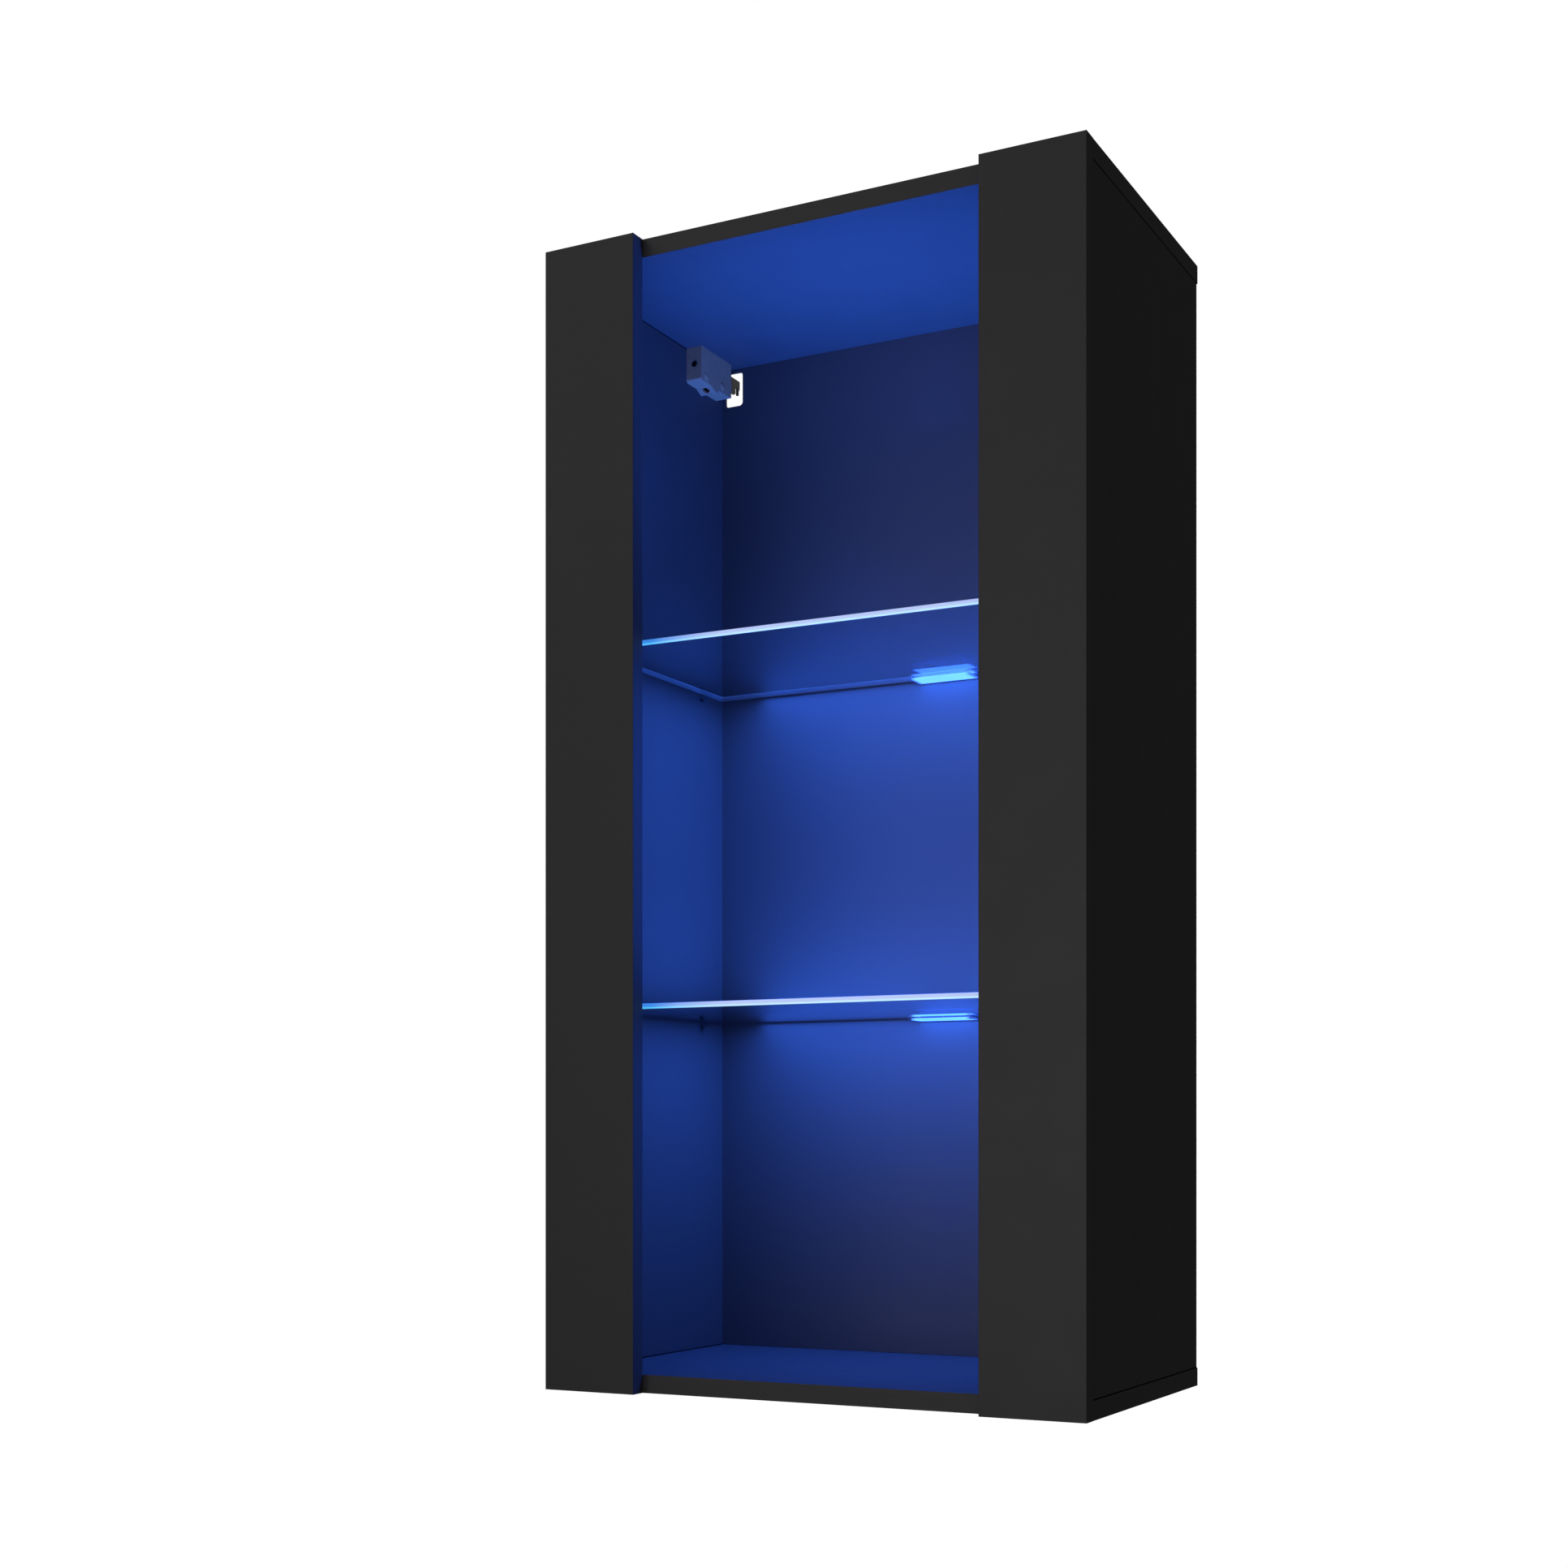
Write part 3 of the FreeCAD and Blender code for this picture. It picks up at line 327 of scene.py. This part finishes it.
def lamp_light(name):
    """Lit diffusers: even cyan-blue light that fades at the ends, and weaker in the bar over
    the glass than in the one under it."""
    s = Shader(name)
    low, high = DIFFUSERS["lower"]
    middle = (low.x + high.x) / 2.0
    half = (high.x - low.x) / 2.0
    out = s.maths("ABSOLUTE", s.maths("SUBTRACT", s.axis_value("X"), middle))
    ends = s.remap(out, LIT_GLOW, LIT_END * LIT_GLOW, half * LIT_EVEN, half, smooth=True)
    patch = s.remap(s.noise(60.0, 2.0), 0.94, 1.06)
    rise = s.axis_value("Z")
    share = 1.0
    for place in PLACES:
        level = (GLASS[place][0].z + GLASS[place][1].z) / 2.0
        over = s.maths("MULTIPLY", s.maths("GREATER_THAN", rise, level),
                       s.maths("LESS_THAN", rise, level + UPPER_BAR_REACH))
        share = s.maths("MULTIPLY", share, s.remap(over, 1.0, UPPER_BAR))
    strength = s.maths("MULTIPLY", s.maths("MULTIPLY", ends, patch), share)
    tint = s.ramp(s.noise(35.0, 2.0), ((0.3, (0.034, 0.130, 1.0)), (0.7, (0.042, 0.142, 1.0))))
    surface = s.principled((0.008, 0.010, 0.012), 0.6, **{
        "Specular IOR Level": 0.05, "Emission Color": tint, "Emission Strength": strength})
    return s.finish(surface)


def led_face(name):
    """Lit chip faces on the circuit board."""
    s = Shader(name)
    tint = s.ramp(s.noise(900.0), ((0.3, (0.05, 0.16, 1.0)), (0.7, (0.12, 0.3, 1.0))))
    return s.finish(s.principled((0.02, 0.03, 0.04), 0.4, **{
        "Emission Color": tint, "Emission Strength": CHIP_GLOW}))


def plastic(name, colour, roughness, grain_per_metre, depth):
    """Moulded plastic with a spark-eroded grain."""
    s = Shader(name)
    cloud = s.noise(120.0, 3.0)
    speck = s.noise(grain_per_metre, 2.0, 0.6)
    dark, light = shaded(colour, 0.90, 1.10)
    base = s.blend(s.remap(s.maths("ADD", cloud, speck), 0.0, 1.0, 0.7, 1.3), dark, light)
    rough = s.remap(speck, roughness - 0.05, roughness + 0.06)
    return s.finish(s.principled(base, rough, Normal=s.bump(speck, 0.25, depth)))


def zinc_steel(name, colour, roughness, brushing):
    """Zinc-plated steel: fine scratches, cloudy plating and slightly uneven shine."""
    s = Shader(name)
    cloud = s.noise(180.0, 4.0, 0.6)
    scratch = s.noise(1.0, 3.0, 0.7, s.scaled(brushing))
    dark, light = shaded(colour, 0.82, 1.08)
    base = s.blend(cloud, dark, light)
    rough = s.remap(s.maths("ADD", cloud, scratch), roughness - 0.08, roughness + 0.12, 0.6, 1.4)
    return s.finish(s.principled(base, rough, Metallic=1.0,
                                 Normal=s.bump(scratch, 0.15, 0.00005)))


def beech(name):
    """Raw beech dowel: straight grain with short dark flecks."""
    s = Shader(name)
    grain = s.noise(1.0, 5.0, 0.65, s.scaled((700.0, 700.0, 60.0)))
    fleck = s.noise(1.0, 2.0, 0.5, s.scaled((1800.0, 1800.0, 300.0)))
    wood = s.ramp(grain, ((0.25, (0.42, 0.24, 0.12)), (0.75, (0.62, 0.42, 0.25))))
    marked = s.blend(s.remap(fleck, 0.0, 0.35, 0.6, 0.7), wood, (0.25, 0.12, 0.05))
    return s.finish(s.principled(marked, s.remap(grain, 0.55, 0.7),
                                 Normal=s.bump(grain, 0.3, 0.0001)))


def circuit_white(name):
    """White solder mask over a circuit board, with faint copper tracks under it."""
    s = Shader(name)
    tracks = s.noise(1.0, 0.0, 0.0, s.scaled((60.0, 1.0, 900.0)))
    base = s.blend(s.remap(tracks, 0.0, 1.0, 0.48, 0.52), (0.62, 0.64, 0.62), (0.74, 0.75, 0.72))
    return s.finish(s.principled(base, s.remap(s.noise(400.0), 0.35, 0.45),
                                 Normal=s.bump(tracks, 0.2, 0.00005)))


def make_materials():
    return {
        "black_laminate": laminate("black_laminate", BLACK_LAMINATE, 0.50),
        "black_side_board": laminate("black_side_board", BLACK_LAMINATE, 0.50, joint_shade=JOINT_SHADE_SHARE),
        "black_back_board": laminate("black_back_board", BLACK_LAMINATE, 0.55, edge_axis="Y"),
        "black_edge_band": edge_band("black_edge_band"),
        "zinc_plated_steel": zinc_steel("zinc_plated_steel", ZINC, 0.32, (900.0, 60.0, 900.0)),
        "black_steel": zinc_steel("black_steel", (0.035, 0.035, 0.037), 0.42, (900.0, 60.0, 900.0)),
        "cast_zinc": zinc_steel("cast_zinc", (0.42, 0.43, 0.45), 0.48, (500.0, 500.0, 500.0)),
        "black_plastic": plastic("black_plastic", BLACK_PLASTIC, 0.45, 1500.0, 0.0001),
        "beech": beech("beech"),
        "shelf_glass": shelf_glass("shelf_glass"),
        "clear_plastic": clear_plastic("clear_plastic"),
        "lamp_light": lamp_light("lamp_light"),
        "circuit_white": circuit_white("circuit_white"),
        "led_face": led_face("led_face"),
        "grey_plastic": plastic("grey_plastic", GREY_PLASTIC, 0.48, 1700.0, 0.0001),
    }


def dress_nodes(materials):
    """Puts each CAD node's material in its slots."""
    for subpart in frame["record"]["subparts"]:
        name = subpart["node"]
        kind = subpart["material_slot"]
        if name.endswith("_screw"):
            kind = "black_steel"
        elif name.endswith("_side_panel"):
            kind = "black_side_board"
        for slot in frame["nodes"][name].material_slots:
            slot.material = materials[kind]


# ------------------------------------------------------------------ stage, lights, camera
DROP_TO_FLOOR = 0.75         # the cabinet hangs this far above the floor
STAGE_REACH = 60.0
AMBIENT = 0.063


def white_glow(name):
    """Evenly lit white, as a backdrop lit to white shows it."""
    s = Shader(name)
    glow = s.add("ShaderNodeEmission")
    s.join(s.remap(s.noise(0.5), 1.0, 1.02), glow.inputs["Strength"])
    return s.finish(glow.outputs["Emission"])


def only_seen(piece):
    """The piece is seen, but lights and shades nothing."""
    piece.visible_diffuse = False
    piece.visible_glossy = False
    piece.visible_shadow = False
    piece.visible_volume_scatter = False


def make_stage():
    """White floor under the hanging cabinet, and a white dome behind and above it."""
    white = white_glow("stage_white")
    bpy.ops.mesh.primitive_plane_add(size=STAGE_REACH, location=(0, 0, -DROP_TO_FLOOR))
    floor = bpy.context.object
    floor.name = "floor"
    bpy.ops.mesh.primitive_uv_sphere_add(radius=STAGE_REACH / 2.0, segments=48, ring_count=24)
    dome = bpy.context.object
    dome.name = "backdrop"
    for piece in (floor, dome):
        piece.data.materials.append(white)
        only_seen(piece)
    world = bpy.data.worlds.new("studio")
    bpy.context.scene.world = world
    world.use_nodes = True
    background = world.node_tree.nodes["Background"]
    background.inputs["Color"].default_value = (1.0, 0.985, 0.96, 1.0)
    background.inputs["Strength"].default_value = AMBIENT


def area_light(name, at, towards, size, power, colour=(1.0, 1.0, 1.0)):
    """Rectangular light at a point, facing another point; size is (width, height)."""
    data = bpy.data.lights.new(name, "AREA")
    data.shape = "RECTANGLE"
    data.size, data.size_y = size
    data.energy = power
    data.color = colour
    light = bpy.data.objects.new(name, data)
    bpy.context.scene.collection.objects.link(light)
    light.location = at
    facing = Vector(towards) - Vector(at)
    light.rotation_euler = facing.to_track_quat("-Z", "Y").to_euler()
    light.visible_camera = False
    return light


AIM = Vector((0.0, 0.0, 0.5))
SOFT_FAR = 4.0
SOFT_TINT = (1.0, 0.965, 1.0)
SOFT_LIGHTS = (              # name, degrees right of ahead, degrees up, (width, height), watts
    ("key", -8.0, 0.0, (3.0, 2.0), 20.0),
    ("low", -8.0, -6.0, (2.5, 1.0), 15.0),
    ("high", -8.0, 30.0, (2.5, 1.0), 8.0),
    ("high_left", -40.0, 30.0, (1.5, 1.5), 9.0),
    ("far_left", -60.0, 10.0, (1.5, 2.0), 5.0),
    ("right", 40.0, 0.0, (1.5, 2.0), 15.0),
)


def studio_lights():
    """Large soft lights in front of the cabinet, which leave its right side dark."""
    for name, across, up, size, power in SOFT_LIGHTS:
        level = math.cos(math.radians(up))
        away = Vector((level * math.sin(math.radians(across)),
                       -level * math.cos(math.radians(across)), math.sin(math.radians(up))))
        area_light(name, AIM + SOFT_FAR * away, AIM, size, power, SOFT_TINT)


PANE_HALF = 0.187            # the lit part of the glass, from its middle to either side
LIT_FRONT, LIT_REAR = -0.04, GLASS["lower"][1].y
FULL_PANE = (-PANE_HALF, PANE_HALF, LIT_FRONT, LIT_REAR)
PANE_LIGHTS = (              # shelf, way, (left, right, front, rear), spread in degrees, watts
    ("lower", "up", FULL_PANE, 180.0, 9.5),
    ("lower", "up", FULL_PANE, 90.0, 2.5),
    ("lower", "down", FULL_PANE, 180.0, 9.0),
    ("upper", "up", FULL_PANE, 180.0, 3.0),
    ("upper", "up", (-PANE_HALF, PANE_HALF, -0.10, LIT_FRONT), 100.0, 3.0),
    ("upper", "up", (-0.10, 0.10, -0.02, 0.08), 100.0, 3.0),
    ("upper", "up", (0.0, PANE_HALF, LIT_FRONT, LIT_REAR), 180.0, 3.0),
    ("upper", "down", FULL_PANE, 180.0, 9.5),
)
LIGHT_GAP = 0.0004           # the lights stand this far clear of the glass and the lamp
NEAR_POWER = {"up": 0.06, "down": 0.3}           # watts from each lamp's own outline


def blue_light(name, part, z, sign, power, body):
    """Blue light that faces up or down from one height and moves with a body."""
    left, right, front, back = part
    at = Vector(((left + right) / 2.0, (front + back) / 2.0, z + sign * LIGHT_GAP))
    light = area_light(name, at, at + Vector((0.0, 0.0, sign)),
                       (right - left, back - front), power, LAMP_BLUE)
    light.visible_glossy = False
    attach(light, body)
    return light


def lamp_lights():
    """Light that the lamps and the glass they shine into send up and down."""
    for number, (place, way, part, spread, power) in enumerate(PANE_LIGHTS):
        low, high = GLASS[place]
        z, sign = (high.z, 1.0) if way == "up" else (low.z, -1.0)
        wide = blue_light("pane_%d" % number, part, z, sign, power, place + "_shelf")
        wide.data.spread = math.radians(spread)
    for place in PLACES:
        low, high = HOUSINGS[place]
        lit_low, lit_high = DIFFUSERS[place]
        part = (lit_low.x, lit_high.x, lit_low.y, lit_high.y)
        for way, z, sign in (("up", high.z, 1.0), ("down", low.z, -1.0)):
            blue_light(place + "_lamp_" + way, part, z, sign, NEAR_POWER[way], place + "_lamp")


CAMERA_AT = (0.8142, -1.7410, 0.2184)
CAMERA_AZIMUTH = math.radians(27.49)
CAMERA_LENS = 49.66
CAMERA_RISE = 0.2277         # level camera whose lens is raised, so uprights stay parallel


def make_camera():
    data = bpy.data.cameras.new("camera")
    data.lens = CAMERA_LENS
    data.sensor_width = 36.0
    data.shift_y = CAMERA_RISE
    camera = bpy.data.objects.new("camera", data)
    bpy.context.scene.collection.objects.link(camera)
    camera.location = CAMERA_AT
    camera.rotation_euler = (math.radians(90.0), 0.0, CAMERA_AZIMUTH)
    bpy.context.scene.camera = camera


make_camera()
make_stage()
studio_lights()
lamp_lights()
dress_nodes(make_materials())
bpy.context.scene.view_settings.view_transform = "Standard"
